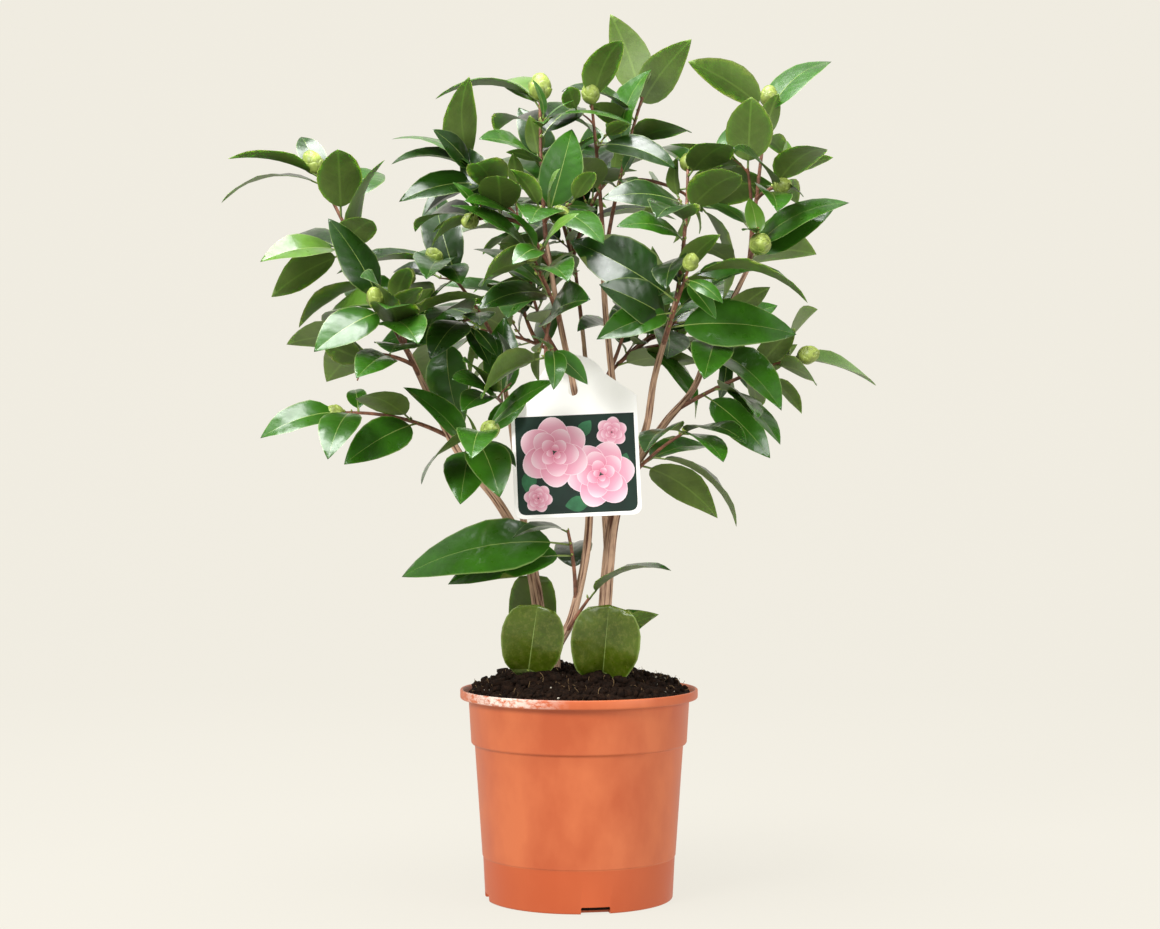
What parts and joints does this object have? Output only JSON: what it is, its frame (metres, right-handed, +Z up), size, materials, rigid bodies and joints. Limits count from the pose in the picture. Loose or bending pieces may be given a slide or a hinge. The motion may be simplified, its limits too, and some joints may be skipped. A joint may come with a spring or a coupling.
{
  "type": "camellia shrub in a nursery pot",
  "caption": "Young camellia shrub with glossy leaves and flower buds on woody stems, growing in a round terracotta-coloured nursery pot, with a hanging plant label.",
  "frame": {"origin": "centre of the pot's flat underside", "axes": "+Z up, +X to the right and -Y to the front in the picture"},
  "size_m": [0.5235, 0.3226, 0.717],
  "materials": {
    "pot": "moulded polypropylene, satin, terracotta orange",
    "soil": "moist dark brown potting soil",
    "bark": "smooth fissured bark, tan brown",
    "leaves": "leathery leaves, glossy dark green above, dull yellow-green below",
    "label": "printed white plastic card"
  },
  "bodies": {
    "root": {"bough_back": "bark", "bough_centre": "bark", "bough_far_right": "bark", "bough_inner": "bark", "bough_left": "bark", "bough_right": "bark", "foliage_back": "leaves", "foliage_back_left": "leaves", "foliage_back_right": "leaves", "foliage_base_back": "leaves", "foliage_base_left": "leaves", "foliage_base_right": "leaves", "foliage_centre_front": "leaves", "foliage_centre_left": "leaves", "foliage_centre_top": "leaves", "foliage_front": "leaves", "foliage_inner": "leaves", "foliage_left_back": "leaves", "foliage_left_inner": "leaves", "foliage_left_low": "leaves", "foliage_left_mid": "leaves", "foliage_left_top": "leaves", "foliage_low_leaf": "leaves", "foliage_low_left": "leaves", "foliage_low_right": "leaves", "foliage_right": "leaves", "foliage_right_mid": "leaves", "foliage_right_top": "leaves", "foliage_top": "leaves", "foliage_top_mid": "leaves", "foliage_top_right": "leaves", "label": "label", "pot": "pot", "soil": "soil", "stem_left": "bark", "stem_middle": "bark", "stem_right": "bark"}
  },
  "joints": []
}
